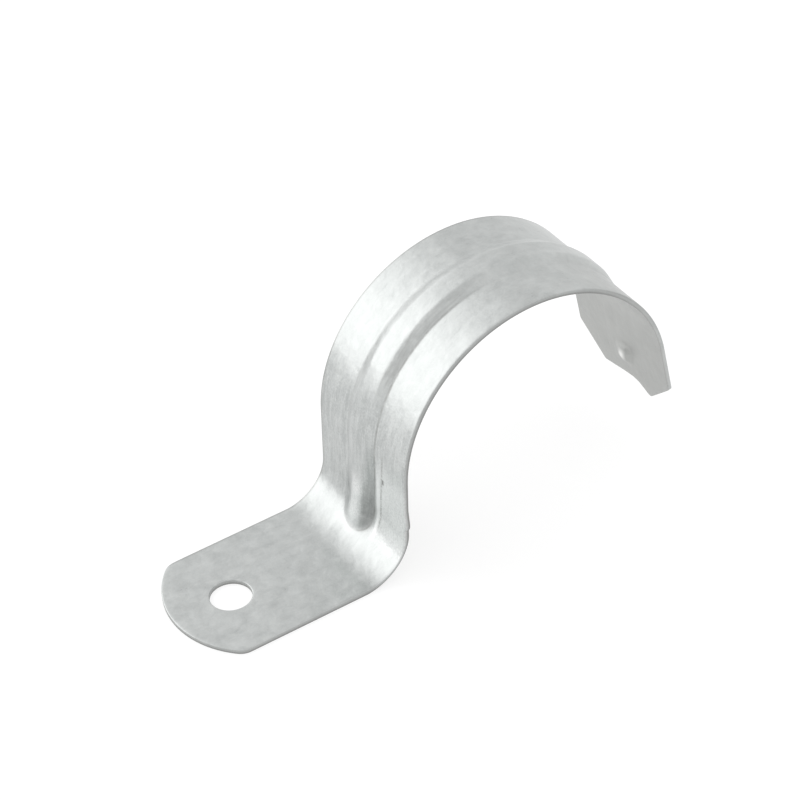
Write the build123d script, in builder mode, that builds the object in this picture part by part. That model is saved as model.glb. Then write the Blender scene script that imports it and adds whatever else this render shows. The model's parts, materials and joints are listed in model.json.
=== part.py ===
from build123d import *

import os
from math import asin, degrees, radians, sqrt, tan

# One-hole conduit strap, pressed from one strip of galvanised steel.
# The origin is the centre of the screw hole, on the face that lies on the wall.
# +X runs from the foot to the arch, Y across the strip and +Z away from the wall.
# Lengths are in millimetres and angles in degrees.

# Strip
strip_width = 25.4
sheet_thickness = 0.85

# Foot and screw hole
foot_length = 29.4
foot_end_radius = 16.7
foot_corner_radius = 3.0
hole_diameter = 7.14
hole_to_end = 10.7

# Bend at the foot, and the straight leg between it and the arch
bend_radius = 7.75
bend_angle = 87.2
leg_length = 10.8

# Arch over the conduit
seat_radius = 25.6
arch_angle = 168.2

# Free end, with tapered sides and a shallow notch in its tip
free_length = 15.0
full_width_length = 9.2
tip_width = 13.3
tip_corner_radius = 0.6
notch_width = 9.4
notch_depth = 1.35

# Nub pressed inward on the free end
nub_from_arch = 8.4
nub_width = 3.7
nub_height = 0.9

# Rib pressed outward along the middle of the strip
rib_height = 0.85
rib_crown_width = 3.8
rib_side_angle = 22.0
rib_shoulder_radius = 3.0
rib_edge_radius = 1.2

# Ends of the rib: its root bridges the bend at the foot and narrows, and its far end sinks into the arch
rib_root_rise = 4.8
rib_root_radius = 35.0
rib_root_angle = 26.0
rib_root_crown_width = 1.6
rib_arch_angle = 136.0
rib_run_out_radius = 12.0
rib_run_out_angle = 60.0

# How far a shape that cuts or joins the sheet reaches past it
margin = 4.0

# Worked-out sizes
half_width = strip_width / 2
arch_radius = seat_radius + sheet_thickness
foot_end_x = -hole_to_end
bend_start_x = foot_end_x + foot_length
foot_end_sag = foot_end_radius - sqrt(foot_end_radius**2 - half_width**2)
nub_radius = (nub_width**2 / 4 + nub_height**2) / (2 * nub_height)
nub_cap_angle = degrees(asin(1 - nub_height / nub_radius))
rib_reach = rib_crown_width / 2 + (rib_height + margin) / tan(radians(rib_side_angle))
across = Vector(0, 1, 0)

# Side view of the strip, drawn as the line of its outer face
with BuildLine(Plane.XZ) as outer_face:
    foot = Line((foot_end_x, sheet_thickness), (bend_start_x, sheet_thickness))
    bend = JernArc(foot @ 1, foot % 1, bend_radius, bend_angle)
    leg = Line(bend @ 1, bend @ 1 + (bend % 1) * leg_length)
    arch = JernArc(leg @ 1, leg % 1, arch_radius, -arch_angle)
    free_leg = Line(arch @ 1, arch @ 1 + (arch % 1) * free_length)

# Side view of the rib's run over the leg and the arch
with BuildLine(Plane.XZ) as rib_run:
    stem = Line(leg @ 0 + (leg % 0) * rib_root_rise, leg @ 1)
    crest = JernArc(leg @ 1, leg % 1, arch_radius, -rib_arch_angle)
    JernArc(crest @ 1, crest % 1, rib_run_out_radius, -rib_run_out_angle)

# Side view of the rib's root, from the leg down into the bend
with BuildLine(Plane.XZ) as rib_root:
    root = JernArc(stem @ 0, -(stem % 0), rib_root_radius, -rib_root_angle)

# Planes across both ends of the rib's root and along the outer face of the free end
stem_plane = Plane(origin=root @ 0, x_dir=across, z_dir=-(root % 0))
root_end_plane = Plane(origin=root @ 1, x_dir=across, z_dir=-(root % 1))
free_plane = Plane(origin=free_leg @ 0, x_dir=free_leg % 0, z_dir=(free_leg % 0).cross(across))
along_free_end = Axis(free_plane.origin, free_plane.x_dir)
through_free_end = Axis(free_plane.origin, free_plane.z_dir)


def rib_section(plane, crown_width, inset):
    """Section of the rib, inset from its outer face, with sloping sides that run on through the sheet."""
    crown_half = crown_width / 2 - inset * tan(radians(rib_side_angle) / 2)
    crown = rib_height - inset
    skirt_half = crown_half + (crown + margin) / tan(radians(rib_side_angle))
    with BuildSketch(plane) as section:
        Polygon(
            (-crown_half, crown),
            (crown_half, crown),
            (skirt_half, -margin),
            (-skirt_half, -margin),
            align=None,
        )
        fillet(section.vertices().group_by(Axis.Y)[-1], rib_shoulder_radius - inset)
    return section.sketch


def rib_body(inset):
    """Whole rib, inset from its outer face: one section over the leg and arch, narrowing along the root."""
    stem_section = rib_section(stem_plane, rib_crown_width, inset)
    end_section = rib_section(root_end_plane, rib_root_crown_width, inset)
    with BuildPart() as body:
        sweep(stem_section, path=rib_run.wires()[0])
        sweep([stem_section, end_section], path=rib_root.wires()[0], multisection=True)
    return body.part


# Outside of the rib, kept only above the strip's inner face
with BuildPart() as bead:
    add(rib_body(0))
    with BuildSketch(Plane.XZ):
        with BuildLine() as inner_face:
            add(Plane.XZ.to_local_coords(outer_face.line))
            offset(amount=sheet_thickness, side=Side.RIGHT, closed=False)
            ends = inner_face.vertices().sort_by(Axis.X)
            Polyline(ends[-1], (ends[-1].X, -arch_radius), (foot_end_x, -arch_radius), ends[0])
        make_face()
    extrude(amount=rib_reach, both=True, mode=Mode.SUBTRACT)

# Inside of the rib, one sheet thickness under its outside
groove = rib_body(sheet_thickness)

with BuildPart() as strap:
    # Bent strip
    with BuildSketch(Plane.XZ):
        with BuildLine():
            add(Plane.XZ.to_local_coords(outer_face.line))
            offset(amount=sheet_thickness, side=Side.RIGHT)
        make_face()
    extrude(amount=half_width, both=True)

    # Rounded foot end with eased corners, and the screw hole
    with BuildSketch():
        with Locations((foot_end_x + foot_end_sag, 0)):
            Rectangle(foot_end_sag + margin, strip_width + margin, align=(Align.MAX, Align.CENTER))
        with Locations((foot_end_x + foot_end_radius, 0)):
            Circle(foot_end_radius, mode=Mode.SUBTRACT)
    extrude(amount=sheet_thickness, mode=Mode.SUBTRACT)
    fillet(strap.edges().filter_by(Axis.Z), foot_corner_radius)
    with Locations((0, 0, sheet_thickness)):
        Hole(hole_diameter / 2, depth=sheet_thickness)

    # Tapered sides and notched tip of the free end
    with BuildSketch(free_plane) as tip_waste:
        with BuildLine():
            Polyline(
                (free_length + margin, 0),
                (free_length + margin, half_width + margin),
                (full_width_length, half_width + margin),
                (full_width_length, half_width),
                (free_length, tip_width / 2),
                (free_length, notch_width / 2),
            )
            mirror(about=Plane.XZ)
            ThreePointArc(
                (free_length, notch_width / 2),
                (free_length - notch_depth, 0),
                (free_length, -notch_width / 2),
            )
        make_face()
    extrude(amount=margin, both=True, mode=Mode.SUBTRACT)
    tip_corners = strap.edges().filter_by(through_free_end).group_by(along_free_end)[-1]
    fillet(tip_corners, tip_corner_radius)

    # Nub, a spherical dimple of the sheet towards the conduit
    nub_plane = Plane(
        origin=free_plane.from_local_coords((nub_from_arch, 0, -sheet_thickness)),
        z_dir=-free_plane.z_dir,
    )
    with Locations(nub_plane.offset(nub_height - nub_radius)):
        Sphere(nub_radius, arc_size1=nub_cap_angle, align=None)
        Sphere(nub_radius - sheet_thickness, mode=Mode.SUBTRACT)

    # Rib, with soft creases along its edge on both faces of the sheet
    plain_strip = strap.part
    add(bead.part)
    fillet(new_edges(plain_strip, bead.part, combined=strap.part), rib_edge_radius)
    beaded_strip = strap.part
    add(groove, mode=Mode.SUBTRACT)
    fillet(new_edges(beaded_strip, groove, combined=strap.part), rib_edge_radius + sheet_thickness)

os.makedirs("parts", exist_ok=True)
strap.part.label = "strap"
export_step(strap.part, "parts/strap.step")
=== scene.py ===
import json
from math import atan2, cos, pi, radians, sin, sqrt, tan

import bpy
import numpy as np
from mathutils import Matrix, Vector
from mathutils.geometry import delaunay_2d_cdt


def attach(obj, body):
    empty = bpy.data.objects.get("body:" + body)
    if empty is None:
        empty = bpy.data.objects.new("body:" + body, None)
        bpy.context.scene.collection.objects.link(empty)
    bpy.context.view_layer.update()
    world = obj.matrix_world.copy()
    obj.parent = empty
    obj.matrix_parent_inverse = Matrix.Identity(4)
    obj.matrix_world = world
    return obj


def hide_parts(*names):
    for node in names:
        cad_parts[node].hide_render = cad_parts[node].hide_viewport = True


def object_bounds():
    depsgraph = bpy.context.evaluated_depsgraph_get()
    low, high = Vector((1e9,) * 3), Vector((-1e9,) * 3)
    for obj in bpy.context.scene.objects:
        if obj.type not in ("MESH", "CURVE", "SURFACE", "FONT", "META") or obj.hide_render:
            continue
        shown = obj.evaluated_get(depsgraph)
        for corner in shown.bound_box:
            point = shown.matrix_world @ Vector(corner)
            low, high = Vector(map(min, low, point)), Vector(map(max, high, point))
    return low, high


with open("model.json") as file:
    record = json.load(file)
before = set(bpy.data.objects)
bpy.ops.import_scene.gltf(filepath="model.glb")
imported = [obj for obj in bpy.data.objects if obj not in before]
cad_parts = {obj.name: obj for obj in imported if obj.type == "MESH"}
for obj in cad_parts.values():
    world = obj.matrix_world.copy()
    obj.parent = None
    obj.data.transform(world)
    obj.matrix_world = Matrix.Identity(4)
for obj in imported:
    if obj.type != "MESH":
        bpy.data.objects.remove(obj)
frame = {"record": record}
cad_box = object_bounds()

# A one-hole conduit strap of galvanised sheet steel, formed in code from a flat blank:
# the blank is cut out, its edges are eased, and it is then bent and embossed.
# A place on the blank is (s, y, z): s runs along the strip from the foot's end, y across it with
# the near side below 0, and z is 0 on the outer face and falls towards the inner one.
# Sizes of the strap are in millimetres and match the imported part. Blender's own are in metres.
MM = 0.001
mounts = {mount["name"]: mount for mount in frame["record"]["mounts"]}

# Strip and foot
HALF_WIDTH = (cad_box[1][1] - cad_box[0][1]) / MM / 2
THICKNESS = 0.85
FOOT_END_X = cad_box[0][0] / MM
FOOT_LENGTH = 29.4
FOOT_END_RADIUS = 16.7
FOOT_CORNER_RADIUS = 3.0
HOLE_RADIUS = mounts["screw_hole"]["dims"]["r_mm"]
# Bend, leg, arch and free end
BEND_RADIUS = 7.75
BEND_ANGLE = radians(87.2)
LEG_LENGTH = 10.8
ARCH_RADIUS = mounts["conduit_seat"]["dims"]["r_mm"] + THICKNESS
ARCH_ANGLE = radians(168.2)
FREE_LENGTH = 15.0
FULL_WIDTH_LENGTH = 9.2
TIP_HALF_WIDTH = 6.65
# Notch in the tip, as depths at places across it, deeper towards the near side
NOTCH_PLACES = (-5.9, -4.9, -3.4, -1.9, 0.9, 3.3, 6.4)
NOTCH_DEPTHS = (0.0, 0.6, 1.3, 1.5, 1.1, 0.6, 0.0)
# Nub on the free end, and how far it is off its place, along the strip and across it
NUB_FROM_ARCH = 8.4
NUB_WIDTH = 4.6
NUB_HEIGHT = 0.9
NUB_BLEND = 0.3
NUB_SHIFT = (0.1, -0.6)
# Rib
RIB_HEIGHT = 0.85
RIB_CROWN_HALF = 1.9
RIB_SIDE_SLOPE = tan(radians(22))
RIB_BASE_HALF = RIB_CROWN_HALF + RIB_HEIGHT / RIB_SIDE_SLOPE
RIB_ROOT_RISE = 4.8
RIB_ROOT_RADIUS = 35.0
RIB_ROOT_ANGLE = radians(26)
RIB_ARCH_ANGLE = radians(136)
RIB_RUN_OUT_RADIUS = 12.0
RIB_RUN_OUT_ANGLE = radians(60)
# Rib's nose at its root: where it starts, and how far off the strip's middle it is and until where
RIB_NOSE_START = 35.0
RIB_NOSE_CENTRE = RIB_NOSE_START + RIB_BASE_HALF
RIB_NOSE_DRIFT = 0.45
RIB_DRIFT_END = 50.0
# Width, roundness and share of height of the rib's sides at places along the strip:
# a full dome at the root, pressed flatter on the leg, and flat-topped over the arch
RIB_SIDES_AT = (42.0, 47.5, 58.0, 67.0)
RIB_SIDE_WIDTHS = (4.0, 2.2, 2.2, 2.2)
RIB_SIDE_POWERS = (1.9, 1.3, 1.3, 1.2)
RIB_HEIGHT_SHARES = (0.93, 0.45, 0.45, 1.0)
# Rounding where the rib's sides meet the strip: from the nose to the leg, and more on the far side
RIB_EDGE_BLEND = (0.3, 0.08)
RIB_FAR_BLEND = 0.1
# Cut edges: rolled over on the punch side and sharper on the other
EDGE_ROLL = 0.16
EDGE_BURR = 0.05
EDGE_SEGMENTS = 4
# In the bend the edges swell on the outer face and draw in below this share of the thickness
EDGE_SWELL = 0.5
EDGE_SWELL_DEPTH = 0.4
EDGE_SWELL_REACH = 1.6
# Burr on the near edge, as how far it stands out at places along the strip
BURR_AT = (42.5, 43.2, 43.9, 46.5)
BURR = (0.0, 0.4, 0.45, 0.0)
# Upper face drawn down towards the foot's end by the cutting
FOOT_DRAW = 0.07
FOOT_DRAW_REACH = 2.5
# Mesh: steps along the outline, along and across the grid inside it and in the rib's table,
# how near the grid comes to the outline, and how many points make an arc. The mesh is fine enough
# for the burr and the rounded edges.
OUTLINE_STEP = 0.3
ROW_STEP = 0.55
COLUMN_STEP = 0.3
LINE_STEP = 0.05
RIM_CLEARANCE = COLUMN_STEP * 0.7
ARC_POINTS = 48


# Side lines

def side_line(start, heading, runs, s):
    """Points, tangents and normals at distances s along runs and arcs, given as (length, turn)."""
    point, begin = np.array(start, float), 0.0
    points, headings = np.zeros((len(s), 2)), np.zeros(len(s))
    for i, (length, turn) in enumerate(runs):
        last = i == len(runs) - 1
        here = (s >= begin) & ((s <= begin + length) if last else (s < begin + length))
        d = s[here] - begin
        headings[here] = heading + turn * d / length
        points[here] = point + run_offset(d, length, heading, turn)
        point = point + run_offset(np.array([length]), length, heading, turn)[0]
        heading, begin = heading + turn, begin + length
    tangents = np.stack([np.cos(headings), np.sin(headings)], 1)
    normals = np.stack([-tangents[:, 1], tangents[:, 0]], 1)
    return points, tangents, normals


def run_offset(d, length, heading, turn):
    """How far a point has moved after distance d along one straight run or arc."""
    half = turn * d / length / 2
    chord = d * np.sinc(half / pi)
    return np.stack([chord * np.cos(heading + half), chord * np.sin(heading + half)], 1)


STRIP_RUNS = [
    (FOOT_LENGTH, 0.0),
    (BEND_RADIUS * BEND_ANGLE, BEND_ANGLE),
    (LEG_LENGTH, 0.0),
    (ARCH_RADIUS * ARCH_ANGLE, -ARCH_ANGLE),
    (FREE_LENGTH, 0.0),
]
RUN_ENDS = np.cumsum([length for length, _ in STRIP_RUNS])
BEND_START, LEG_START, ARCH_START, FREE_START, STRIP_END = RUN_ENDS


def strip_line(s):
    """The strip's outer face, seen from the side."""
    return side_line((FOOT_END_X, THICKNESS), 0.0, STRIP_RUNS, s)


# Rib

def rib_crown():
    """Height of the rib's crown over the strip's outer face, as a table along the strip."""
    root_length = RIB_ROOT_RADIUS * RIB_ROOT_ANGLE
    stem_length = LEG_LENGTH - RIB_ROOT_RISE
    runs = [
        (stem_length, 0.0),
        (ARCH_RADIUS * RIB_ARCH_ANGLE, -RIB_ARCH_ANGLE),
        (RIB_RUN_OUT_RADIUS * RIB_RUN_OUT_ANGLE, -RIB_RUN_OUT_ANGLE),
    ]
    stem, heading, _ = (v[0] for v in strip_line(np.array([ARCH_START - stem_length])))
    along = np.arange(0.0, sum(length for length, _ in runs), LINE_STEP)
    up = side_line(stem, atan2(heading[1], heading[0]), runs, along)
    back = np.arange(LINE_STEP, root_length, LINE_STEP)
    root = [(root_length, -RIB_ROOT_ANGLE)]
    down = side_line(stem, atan2(-heading[1], -heading[0]), root, back)
    crown = np.concatenate([up[0] + RIB_HEIGHT * up[2], down[0] - RIB_HEIGHT * down[2]])

    s = np.arange(0.0, STRIP_END, LINE_STEP)
    points, _, normals = strip_line(s)
    gaps = crown[:, None, :] - points[None, :, :]
    nearest = (gaps**2).sum(2).argmin(1)
    heights = (gaps[np.arange(len(crown)), nearest] * normals[nearest]).sum(1)
    order = np.argsort(s[nearest], kind="stable")
    return s[nearest][order], heights[order]


RIB_TABLE = rib_crown()


def larger(a, b, blend):
    """The larger of two values, with a rounded change-over."""
    return np.maximum(a, b) + np.clip(blend - np.abs(a - b), 0, None)**2 / (4 * blend)


def rib_inside(s, y):
    """How far a place is inside the rib's foot line, which ends in a round nose at the root."""
    drift = np.interp(s, (RIB_NOSE_CENTRE, RIB_DRIFT_END), (RIB_NOSE_DRIFT, 0.0))
    return RIB_BASE_HALF - np.hypot(y - drift, np.clip(RIB_NOSE_CENTRE - s, 0, None))


def rib_height(s, y):
    """How far the rib lifts the sheet at a place on the blank."""
    crown = np.interp(np.maximum(s, RIB_NOSE_CENTRE), *RIB_TABLE, right=-THICKNESS)
    crown *= np.interp(s, RIB_SIDES_AT, RIB_HEIGHT_SHARES)
    down = np.clip(1 - rib_inside(s, y) / np.interp(s, RIB_SIDES_AT, RIB_SIDE_WIDTHS), 0, None)
    sides = crown * (1 - down**np.interp(s, RIB_SIDES_AT, RIB_SIDE_POWERS))
    blend = np.interp(s, (RIB_NOSE_CENTRE, RIB_SIDES_AT[1]), RIB_EDGE_BLEND)
    blend += np.where(y > 0, RIB_FAR_BLEND, 0.0)
    return larger(np.minimum(crown, sides), 0.0, blend)


# Nub

NUB_RADIUS = (NUB_WIDTH**2 / 4 + NUB_HEIGHT**2) / (2 * NUB_HEIGHT)


def nub_depth(s, y, radius):
    """How far the nub pushes one face of the sheet inward, for a ball of that radius."""
    away = np.hypot(s - FREE_START - NUB_FROM_ARCH - NUB_SHIFT[0], y - NUB_SHIFT[1])
    ball = np.sqrt(np.clip(radius**2 - away**2, 0, None)) - (radius - NUB_HEIGHT)
    return larger(ball, 0.0, NUB_BLEND) * (away < NUB_WIDTH)


# Blank

def arc(centre, radius, start, end, count=ARC_POINTS):
    """Points of an arc between two angles."""
    angles = np.linspace(start, end, count)
    return centre + radius * np.stack([np.cos(angles), np.sin(angles)], 1)


def even(points, step):
    """The same closed line with its points an even step apart."""
    closed = np.vstack([points, points[:1]])
    lengths = np.concatenate([[0.0], np.cumsum(np.hypot(*np.diff(closed, axis=0).T))])
    places = np.linspace(0.0, lengths[-1], int(lengths[-1] / step), endpoint=False)
    return np.stack([np.interp(places, lengths, closed[:, axis]) for axis in (0, 1)], 1)


def softened(points):
    """A closed line with its corners slightly rounded."""
    return (np.roll(points, 1, 0) + 2 * points + np.roll(points, -1, 0)) / 4


def blank_outline():
    """The blank's outline, anticlockwise, from the foot's near corner round the tip and back."""
    corner_y = HALF_WIDTH - FOOT_CORNER_RADIUS
    corner_s = FOOT_END_RADIUS - sqrt((FOOT_END_RADIUS - FOOT_CORNER_RADIUS)**2 - corner_y**2)
    corner_angle = atan2(corner_y, corner_s - FOOT_END_RADIUS)
    taper_start = FREE_START + FULL_WIDTH_LENGTH
    points = np.vstack([
        arc((corner_s, -corner_y), FOOT_CORNER_RADIUS, -corner_angle, -pi / 2),
        [(taper_start, -HALF_WIDTH), (STRIP_END, -TIP_HALF_WIDTH)],
        np.column_stack([STRIP_END - np.array(NOTCH_DEPTHS), NOTCH_PLACES]),
        [(STRIP_END, TIP_HALF_WIDTH), (taper_start, HALF_WIDTH)],
        arc((corner_s, corner_y), FOOT_CORNER_RADIUS, pi / 2, corner_angle),
        arc((FOOT_END_RADIUS, 0.0), FOOT_END_RADIUS, corner_angle, 2 * pi - corner_angle),
    ])
    return softened(even(points, OUTLINE_STEP))


def inward(points):
    """Unit directions into the sheet, from an anticlockwise outline or a clockwise hole."""
    along = np.roll(points, -1, 0) - np.roll(points, 1, 0)
    along /= np.hypot(*along.T)[:, None]
    return np.stack([-along[:, 1], along[:, 0]], 1)


OUTLINE = blank_outline()
HOLE_CENTRE = np.array([-FOOT_END_X, 0.0])
HOLE_POINTS = int(2 * pi * HOLE_RADIUS / OUTLINE_STEP)
HOLE = arc(HOLE_CENTRE, HOLE_RADIUS, 2 * pi, 0.0, HOLE_POINTS + 1)[:-1]
RIMS = [(OUTLINE, inward(OUTLINE)), (HOLE, inward(HOLE))]


# Solid blank

def rim_rings():
    """Rings round each rim, as (inset, z, share of cut edge), from the outer to the inner face."""
    turns = np.linspace(pi / 2, 0.0, EDGE_SEGMENTS)
    rings = []
    for radius, face_z, order in ((EDGE_ROLL, 0.0, 1), (EDGE_BURR, -THICKNESS, -1)):
        for turn in turns[::order]:
            z = face_z + order * radius * (sin(turn) - 1)
            rings.append((radius * (1 - cos(turn)), z, 1 - turn / (pi / 2)))
    return rings


def fill_points(outer):
    """An even grid of places (s, y) inside the blank's outer loop, clear of its rims."""
    s, y = np.meshgrid(
        np.arange(ROW_STEP, STRIP_END, ROW_STEP),
        np.arange(-HALF_WIDTH + COLUMN_STEP, HALF_WIDTH, COLUMN_STEP),
    )
    s[::2] += ROW_STEP / 2
    places = np.stack([s.ravel(), y.ravel()], 1)
    clear = np.hypot(*(places - HOLE_CENTRE).T) > HOLE_RADIUS + COLUMN_STEP
    crossings = np.zeros(len(places), int)
    for a, b in zip(outer, np.roll(outer, -1, 0)):
        near = (np.abs(places - a) < 2 * ROW_STEP).all(1)
        clear[near] &= np.hypot(*(places[near] - a).T) > RIM_CLEARANCE
        if a[1] != b[1]:
            level = (places[:, 1] > min(a[1], b[1])) & (places[:, 1] <= max(a[1], b[1]))
            ahead = a[0] + (places[level, 1] - a[1]) * (b[0] - a[0]) / (b[1] - a[1])
            crossings[level] += places[level, 0] < ahead
    return places[clear & (crossings % 2 == 1)]


def face_triangles(loops, places):
    """Triangles that fill one face of the blank, over its rim loops and grid places.

    The triangulation covers the screw hole too, so what lies inside its rim is left out.
    """
    coords = [Vector(p) for loop in loops for p in loop] + [Vector(p) for p in places]
    edges, start = [], 0
    for loop in loops:
        edges += [(start + i, start + (i + 1) % len(loop)) for i in range(len(loop))]
        start += len(loop)
    inside_only, tolerance = 1, 1e-6
    verts, _, faces, sources, _, _ = delaunay_2d_cdt(coords, edges, [], inside_only, tolerance)
    hole_radius = np.hypot(*(loops[1][0] - HOLE_CENTRE))
    triangles = []
    for face in faces:
        middle = sum((verts[i] for i in face), Vector((0.0, 0.0))) / 3
        if (middle - Vector(HOLE_CENTRE)).length > hole_radius:
            triangles.append([sources[i][0] for i in face])
    return triangles


def solid_blank():
    """Places and faces of the blank as a closed solid, and how far each place is on a cut edge."""
    rings = rim_rings()
    rim_count = sum(len(rim) for rim, _ in RIMS)
    places, cut, faces = [], [], []
    for inset, z, on_cut in rings:
        for rim, inside in RIMS:
            places.append(np.column_stack([rim + inset * inside, np.full(len(rim), z)]))
            cut.append(np.full(len(rim), on_cut))
    for ring in range(len(rings) - 1):
        begin = ring * rim_count
        for rim, _ in RIMS:
            for i in range(len(rim)):
                upper, next_upper = begin + i, begin + (i + 1) % len(rim)
                faces.append((upper, upper + rim_count, next_upper + rim_count, next_upper))
            begin += len(rim)
    # Fillings of both faces; the inner one's triangles are turned over
    inner_start = (len(rings) - 1) * rim_count
    for inset, ring_start, z, order in (
        (rings[0][0], 0, 0.0, 1),
        (rings[-1][0], inner_start, -THICKNESS, -1),
    ):
        loops = [rim + inset * inside for rim, inside in RIMS]
        filling = fill_points(loops[0])
        filling_start = sum(len(p) for p in places)
        places.append(np.column_stack([filling, np.full(len(filling), z)]))
        cut.append(np.zeros(len(filling)))
        for triangle in face_triangles(loops, filling):
            corners = [
                ring_start + i if i < rim_count else filling_start + i - rim_count
                for i in triangle
            ]
            faces.append(tuple(corners[::order]))
    return np.vstack(places), np.concatenate(cut), faces


# Forming

def formed(places):
    """Bends and embosses the blank: places (s, y, z) become points of the strap."""
    s, y, z = places.T
    depth = -z / THICKNESS
    outer_dent = nub_depth(s, y, NUB_RADIUS - THICKNESS)
    inner_dent = nub_depth(s, y, NUB_RADIUS)
    lift = z + rib_height(s, y) - outer_dent * (1 - depth) - inner_dent * depth
    from_end = FOOT_END_RADIUS - np.hypot(s - FOOT_END_RADIUS, y)
    drawn = np.clip(1 - from_end / FOOT_DRAW_REACH, 0, 1)**2 * (s < FOOT_END_RADIUS)
    lift -= FOOT_DRAW * (1 - depth) * drawn

    bend_half = (LEG_START - BEND_START) / 2
    in_bend = np.clip((s - BEND_START) * (LEG_START - s), 0, None) / bend_half**2
    at_edge = np.clip(1 - (HALF_WIDTH - np.abs(y)) / EDGE_SWELL_REACH, 0, 1)**2
    wide = y + np.sign(y) * EDGE_SWELL * in_bend * at_edge * (EDGE_SWELL_DEPTH - depth)
    wide -= (y < 0) * at_edge * np.interp(s, BURR_AT, BURR)

    points, _, normals = strip_line(np.clip(s, 0.0, STRIP_END))
    side = points + normals * lift[:, None]
    return np.column_stack([side[:, 0], wide, side[:, 1]])


def make_strap():
    """The strap as one object that keeps, for its material, where each point is on the blank."""
    places, cut, faces = solid_blank()
    mesh = bpy.data.meshes.new("strap_sheet")
    mesh.from_pydata((formed(places) * MM).tolist(), [], faces)
    mesh.shade_smooth()
    strip = mesh.attributes.new("strip_place", "FLOAT_VECTOR", "POINT")
    strip.data.foreach_set("vector", places.ravel())
    inside = rib_inside(places[:, 0], places[:, 1])
    for name, values in (("cut_edge", cut), ("rib_inside", inside)):
        attribute = mesh.attributes.new(name, "FLOAT", "POINT")
        attribute.data.foreach_set("value", values)
    mesh.validate()
    piece = bpy.data.objects.new("strap_sheet", mesh)
    bpy.context.scene.collection.objects.link(piece)
    return piece


# Materials

class Nodes:
    """Short ways to add shader nodes to a material or the world.

    A span is (from, to), and a band is (centre, half width, fade).
    """

    # Places of the colour sockets among the Mix node's inputs and outputs
    MIX_A, MIX_B, MIX_RESULT = 6, 7, 2

    def __init__(self, owner):
        owner.use_nodes = True
        self.tree = owner.node_tree

    def add(self, kind, inputs=None, **settings):
        node = self.tree.nodes.new("ShaderNode" + kind)
        for key, value in settings.items():
            setattr(node, key, value)
        self.put(inputs or {}, node)
        return node

    def put(self, inputs, node):
        """Sets or links inputs of a node."""
        for key, value in inputs.items():
            if isinstance(value, bpy.types.NodeSocket):
                self.tree.links.new(value, node.inputs[key])
            else:
                node.inputs[key].default_value = value

    def attribute(self, name, output="Fac"):
        return self.add("Attribute", attribute_name=name).outputs[output]

    def combined(self, operation, first, *others):
        """Values put together one after another by a math operation."""
        for other in others:
            first = self.add("Math", {0: first, 1: other}, operation=operation).outputs[0]
        return first

    def total(self, *values):
        return self.combined("ADD", *values)

    def product(self, *values):
        return self.combined("MULTIPLY", *values)

    def most(self, *values):
        return self.combined("MAXIMUM", *values)

    def noise(self, vector, scale, detail, roughness, distortion=0.0, along=1.0):
        """Noise over the sheet, drawn out along the strip where along is below 1."""
        if along != 1.0:
            vector = self.add("Mapping", {"Vector": vector, "Scale": (along, 1.0, 1.0)}).outputs[0]
        inputs = {"Vector": vector, "Scale": scale, "Detail": detail}
        inputs.update({"Roughness": roughness, "Distortion": distortion})
        return self.add("TexNoise", inputs).outputs["Fac"]

    def ranged(self, value, span, target=(0.0, 1.0), **settings):
        """A value taken from one span to another, and held at their ends."""
        inputs = {"Value": value, "From Min": span[0], "From Max": span[1]}
        inputs.update({"To Min": target[0], "To Max": target[1]})
        return self.add("MapRange", inputs, **settings).outputs[0]

    def uneven(self, value, *layers):
        """A value made uneven by noise layers, given as (layer, strength)."""
        for layer, strength in layers:
            value = self.total(value, self.ranged(layer, NOISE_SPAN, (-strength, strength)))
        return value

    def band(self, value, band):
        """1 in the band, fading to 0 on either side."""
        centre, half_width, fade = band
        away = self.combined("SUBTRACT", value, centre)
        away = self.add("Math", {0: away}, operation="ABSOLUTE").outputs[0]
        return self.ranged(away, (half_width, half_width + fade), (1.0, 0.0))

    def patch(self, s, y, bands):
        """1 in a patch of the strip, given as its bands along and across it."""
        return self.product(self.band(s, bands[0]), self.band(y, bands[1]))

    def mix(self, factor, a, b):
        inputs = {"Factor": factor, self.MIX_A: a, self.MIX_B: b}
        return self.add("Mix", inputs, data_type="RGBA").outputs[self.MIX_RESULT]


# What most of a noise layer's values lie in, and what its stronger marks take from it
NOISE_SPAN = (0.3, 0.7)
MARK_SPAN = (0.35, 0.65)
# Colours of the zinc in its darker and lighter mottles, of its painted highlights, of the painted
# shade on its inner face and the painted highlight on its nub, and of its dark marks and painted
# shade. The inner face and the nub take on theirs only in part.
DARK_ZINC = (0.41, 0.425, 0.42, 1)
LIGHT_ZINC = (0.585, 0.60, 0.593, 1)
PAINTED_HIGHLIGHT_ZINC = (0.75, 0.76, 0.755, 1)
INNER_SHADE_ZINC = (0.29, 0.285, 0.27, 1)
INNER_SHADE_SHARE = 0.42
NUB_HIGHLIGHT_ZINC = (0.85, 0.85, 0.84, 1)
NUB_HIGHLIGHT_SHARE = 0.9
MARK_AND_SHADE_ZINC = (0.2, 0.2, 0.19, 1)
TORN_STEEL = (0.2, 0.2, 0.195, 1)
# Spans of z over which the look of the outer face and that of the inner face come in
OUTER_FACE = (-0.5, -0.2)
INNER_FACE = (-0.6, -0.8)
# Long waves in the zinc's tone, press marks on the leg, and painted reflected light across the
# leg: lighter at its near edge and darker from its middle over
WAVE_TONE = (0.35, 0.65)
LEG_MARKS_AND_LIGHT = (50.0, 9.0, 6.0)
LEG_MARK_TONE = (-0.2, 0.2)
LEG_PAINTED_LIGHT = ((-6.0, -2.0), (0.1, -0.15))
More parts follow.
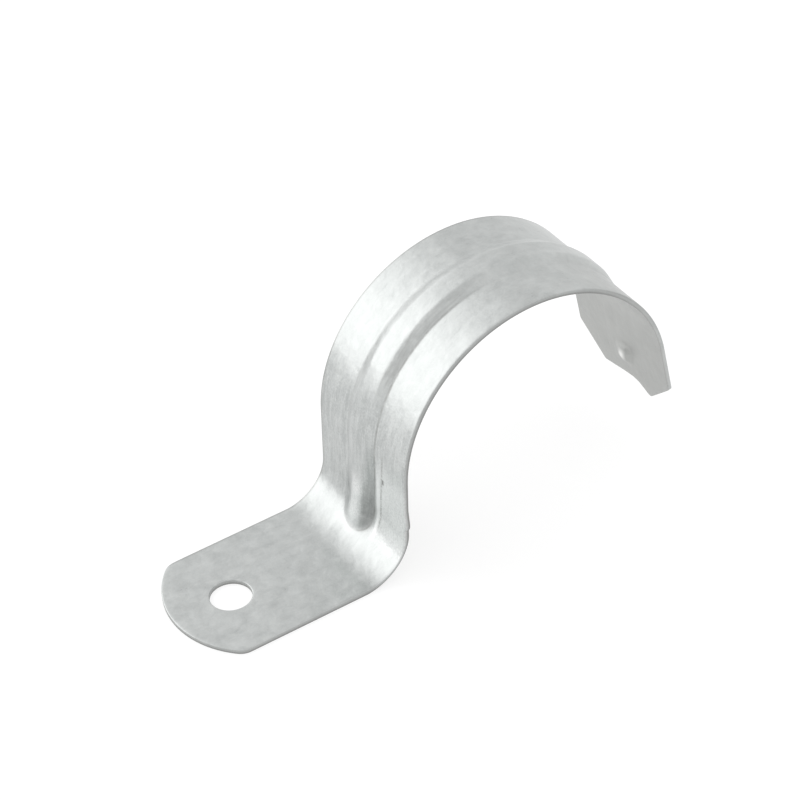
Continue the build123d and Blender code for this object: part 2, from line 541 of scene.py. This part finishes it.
# Painted highlights, in patches: on the leg beside the root, on a ridge beside the root and on
# the crown of the root, and on the nub
HIGHLIGHT_PATCHES = (MARK_SPAN, (0.5, 1.0))
LEG_HIGHLIGHT_ALONG = (44.5, 4.5, 4.5)
LEG_HIGHLIGHT_ACROSS = (-3.9, -4.6)
RIDGE_HIGHLIGHT = ((42.5, 4.0, 3.0), (-4.8, 0.25, 0.3))
ROOT_HIGHLIGHT = ((40.5, 3.0, 4.0), (0.9, 0.7, 1.6))
NUB_HIGHLIGHT_PATCH = ((FREE_START + NUB_FROM_ARCH, 0.3, 1.0), (NUB_SHIFT[1], 0.2, 0.9))
# Painted shade along the rib's foot line and on its side, as bands inside that line, in patches
# given as (span of the noise, span of the strength), and weaker on the far side
FOOT_LINE = (0.0, 0.05, 0.3)
FOOT_LINE_END = (80.0, 90.0)
FOOT_LINE_PATCHES = ((0.35, 0.6), (0.2, 0.6))
RIB_SIDE = (1.1, 0.7, 0.4)
RIB_SIDE_ALONG = (74.0, 8.0, 5.0)
RIB_SIDE_PATCHES = ((0.4, 0.65), (0.0, 0.3))
NEAR_SIDE = (1.0, -1.0)
FAR_SIDE_SHARE = 0.35
# Dark patch of painted shade in the root, and the scratch and the nick beside it
ROOT_SHADE = ((41.0, 3.5, 2.5), (-2.5, 0.9, 0.7))
ROOT_SHADE_STRENGTH = 0.2
SCRATCH_ENDS_ALONG = (38.0, 53.5)
SCRATCH_ENDS_ACROSS = (-5.2, -6.3)
SCRATCH_LINE = (0.0, 0.1, 0.3)
SCRATCH_ALONG = (46.0, 7.0, 1.5)
SCRATCH_PATCHES = ((0.4, 0.58), (0.0, 0.6))
NICK = ((48.6, 0.35, 0.3), (-6.3, 0.2, 0.2))
NICK_STRENGTH = 0.8
# Dark line at the far edge, painted shade on its rolled rim which is partly a real dull rim from
# the shear, and painted shade on the near side past the arch's top
FAR_EDGE = (HALF_WIDTH - 0.5, HALF_WIDTH - 0.2)
FAR_EDGE_STRENGTH = 0.4
PAST_TOP_SHADE_ALONG = (116.0, 6.0, 8.0)
PAST_TOP_SHADE_ACROSS = (-2.0, -6.0)
PAST_TOP_SHADE_STRENGTH = 0.3
# Cut edges, torn and dark in their lower part, and less so towards the free end
CUT_EDGE = (0.4, 0.9)
TORN_PART = (-0.35, -0.6)
TORN_STRENGTH = (0.35, 0.75)
TORN_END = (105.0, 125.0)
TORN_END_SHARE = 0.2
CUT_METALLIC = 0.5
CUT_ROUGHNESS = 0.2
ROUGHNESS = (0.33, 0.37)
# Depth of the relief in the zinc, for one unit of its layers
RELIEF_DEPTH = 0.05


def galvanised_material():
    """Satin zinc on rolled sheet with painted highlights and shade, a scratch, a nick, and dull
    cut edges.
    """
    material = bpy.data.materials.new("galvanised_steel")
    n = Nodes(material)
    place = n.attribute("strip_place", "Vector")
    s, y, z = n.add("SeparateXYZ", {0: place}).outputs
    outer_face = n.ranged(z, OUTER_FACE)
    inside = n.attribute("rib_inside")
    rim = n.ranged(n.attribute("cut_edge"), CUT_EDGE)
    waves = n.noise(place, scale=0.2, detail=2.0, roughness=0.5)
    mottle = n.noise(place, scale=0.6, detail=5.0, roughness=0.6, distortion=0.4, along=0.8)
    streaks = n.noise(place, scale=1.2, detail=3.0, roughness=0.55, distortion=0.8, along=0.14)
    speckle = n.noise(place, scale=2.6, detail=3.0, roughness=0.6)
    crystals = n.add("TexVoronoi", {"Vector": place, "Scale": 0.8, "Randomness": 1.0}).outputs
    crystal_tone = n.add("SeparateColor", {0: crystals["Color"]}).outputs[0]

    # Mottles, press marks on the leg, and painted reflected light across the leg
    shade = n.ranged(waves, NOISE_SPAN, WAVE_TONE)
    shade = n.uneven(shade, (mottle, 0.22), (streaks, 0.06), (speckle, 0.1), (crystal_tone, 0.04))
    leg_marks_and_light = n.total(
        n.ranged(streaks, MARK_SPAN, LEG_MARK_TONE),
        n.ranged(speckle, MARK_SPAN, LEG_MARK_TONE),
        n.ranged(y, *LEG_PAINTED_LIGHT),
    )
    shade = n.total(shade, n.product(leg_marks_and_light, n.band(s, LEG_MARKS_AND_LIGHT)))
    zinc = n.mix(shade, DARK_ZINC, LIGHT_ZINC)

    # Painted highlights, painted shade on the inner face, and a painted highlight on the nub
    leg_highlight = n.product(n.ranged(y, LEG_HIGHLIGHT_ACROSS), n.band(s, LEG_HIGHLIGHT_ALONG))
    highlights = n.most(n.total(leg_highlight, n.patch(s, y, RIDGE_HIGHLIGHT)), n.patch(s, y, ROOT_HIGHLIGHT))
    highlights = n.product(highlights, n.ranged(speckle, *HIGHLIGHT_PATCHES), outer_face)
    zinc = n.mix(highlights, zinc, PAINTED_HIGHLIGHT_ZINC)
    zinc = n.mix(n.ranged(z, INNER_FACE, (0.0, INNER_SHADE_SHARE)), zinc, INNER_SHADE_ZINC)
    nub_highlight = n.product(n.patch(s, y, NUB_HIGHLIGHT_PATCH), n.ranged(z, INNER_FACE, (0.0, NUB_HIGHLIGHT_SHARE)))
    zinc = n.mix(nub_highlight, zinc, NUB_HIGHLIGHT_ZINC)

    # Painted shade and marks on the outer face, and torn cut edges
    foot_line_shade = n.product(
        n.band(inside, FOOT_LINE),
        n.ranged(s, FOOT_LINE_END, (1.0, 0.0)),
        n.ranged(mottle, *FOOT_LINE_PATCHES),
    )
    rib_side_shade = n.product(
        n.band(inside, RIB_SIDE),
        n.ranged(streaks, *RIB_SIDE_PATCHES),
        n.band(s, RIB_SIDE_ALONG),
    )
    off_scratch = n.combined("SUBTRACT", y, n.ranged(s, SCRATCH_ENDS_ALONG, SCRATCH_ENDS_ACROSS))
    scratch = n.product(
        n.band(off_scratch, SCRATCH_LINE),
        n.band(s, SCRATCH_ALONG),
        n.ranged(speckle, *SCRATCH_PATCHES),
    )
    marks_and_shade = n.most(
        n.product(n.most(foot_line_shade, rib_side_shade), n.ranged(y, NEAR_SIDE, (FAR_SIDE_SHARE, 1.0))),
        n.product(n.patch(s, y, ROOT_SHADE), ROOT_SHADE_STRENGTH),
        scratch,
        n.product(n.patch(s, y, NICK), NICK_STRENGTH),
        n.ranged(y, FAR_EDGE, (0.0, FAR_EDGE_STRENGTH)),
        n.product(n.ranged(y, PAST_TOP_SHADE_ACROSS, (0.0, PAST_TOP_SHADE_STRENGTH)), n.band(s, PAST_TOP_SHADE_ALONG)),
    )
    zinc = n.mix(n.product(marks_and_shade, outer_face), zinc, MARK_AND_SHADE_ZINC)
    torn = n.product(
        n.ranged(z, TORN_PART, TORN_STRENGTH),
        n.ranged(s, TORN_END, (1.0, TORN_END_SHARE)),
    )
    zinc = n.mix(n.product(rim, torn), zinc, TORN_STEEL)

    rough = n.total(n.ranged(waves, NOISE_SPAN, ROUGHNESS), n.product(rim, CUT_ROUGHNESS))
    relief = n.total(
        n.product(waves, 4.0),
        n.product(mottle, 1.6),
        n.product(streaks, 0.05),
        n.product(speckle, 0.1),
        n.product(crystals["Distance"], 0.08),
    )
    bump = n.add("Bump", {"Height": relief, "Strength": 1.0, "Distance": RELIEF_DEPTH * MM})
    n.put({
        "Base Color": zinc,
        "Metallic": n.ranged(rim, (0.0, 1.0), (1.0, CUT_METALLIC)),
        "Roughness": n.uneven(rough, (mottle, 0.06), (speckle, 0.03)),
        "Normal": bump.outputs[0],
    }, n.tree.nodes["Principled BSDF"])
    return material


def floor_material():
    """A pale floor that gives off most of its own light, so that it stays nearly white."""
    material = bpy.data.materials.new("floor")
    n = Nodes(material)
    n.put({
        "Base Color": (0.3, 0.3, 0.3, 1),
        "Roughness": 0.8,
        "Emission Color": (1, 1, 1, 1),
        "Emission Strength": 0.72,
    }, n.tree.nodes["Principled BSDF"])
    return material


# Strap
strap = make_strap()
strap.data.materials.append(galvanised_material())
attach(strap, "root")
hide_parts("strap")

# Floor, a square of this half width in metres
FLOOR_HALF = 3.0
corners = [(x * FLOOR_HALF, y * FLOOR_HALF, 0.0) for x, y in ((-1, -1), (1, -1), (1, 1), (-1, 1))]
floor_mesh = bpy.data.meshes.new("floor")
floor_mesh.from_pydata(corners, [], [(0, 1, 2, 3)])
floor = bpy.data.objects.new("floor", floor_mesh)
floor.data.materials.append(floor_material())
bpy.context.scene.collection.objects.link(floor)

# Camera: where the photo was taken from, as angles round a point on the strap's middle
AIM = Vector((35.0, 0.0, 24.9)) * MM
CAMERA_DISTANCE = 499.4 * MM
CAMERA_AZIMUTH = radians(30.25)
CAMERA_ELEVATION = radians(39.46)
CAMERA_ROLL = radians(-4.5)
CAMERA_LENS = 137.2


def looking(azimuth, elevation, roll=0.0):
    """The rotation of something that faces the strap from that side and height."""
    turn = Matrix.Rotation(-azimuth, 4, "Z") @ Matrix.Rotation(pi / 2 - elevation, 4, "X")
    return turn @ Matrix.Rotation(roll, 4, "Z")


camera_data = bpy.data.cameras.new("camera")
camera_data.lens = CAMERA_LENS
camera = bpy.data.objects.new("camera", camera_data)
view = looking(CAMERA_AZIMUTH, CAMERA_ELEVATION, CAMERA_ROLL)
camera.matrix_world = Matrix.Translation(AIM + view @ Vector((0, 0, CAMERA_DISTANCE))) @ view
bpy.context.scene.collection.objects.link(camera)
bpy.context.scene.camera = camera

# Light: a white room with one tall soft box on the upper left, a patch of the room's own light.
# The box is even within BOX_CORE of its middle and fades out at BOX_REACH, both measured between
# unit directions, and BOX_SHAPE makes it narrower along Y.
ROOM_LEVEL = 1.0
BOX_AZIMUTH = radians(139)
BOX_ELEVATION = radians(15.5)
BOX_LEVEL = 2.2
BOX_CORE = 0.31
BOX_REACH = 1.1
BOX_SHAPE = Vector((1.0, 1.8, 1.0))

world = bpy.data.worlds.new("world")
bpy.context.scene.world = world
room = Nodes(world)
direction = room.add("TexCoord").outputs["Generated"]
shaped = room.add("VectorMath", {0: direction, 1: BOX_SHAPE}, operation="MULTIPLY").outputs[0]
box_middle = looking(BOX_AZIMUTH, BOX_ELEVATION) @ Vector((0, 0, 1)) * BOX_SHAPE
off_middle = room.add("VectorMath", {0: shaped, 1: box_middle}, operation="DISTANCE")
level = room.ranged(
    off_middle.outputs["Value"],
    (BOX_CORE, BOX_REACH),
    (BOX_LEVEL, ROOM_LEVEL),
    interpolation_type="SMOOTHSTEP",
)
room.put({"Color": (1, 1, 1, 1), "Strength": level}, room.tree.nodes["Background"])

bpy.context.scene.view_settings.view_transform = "Standard"
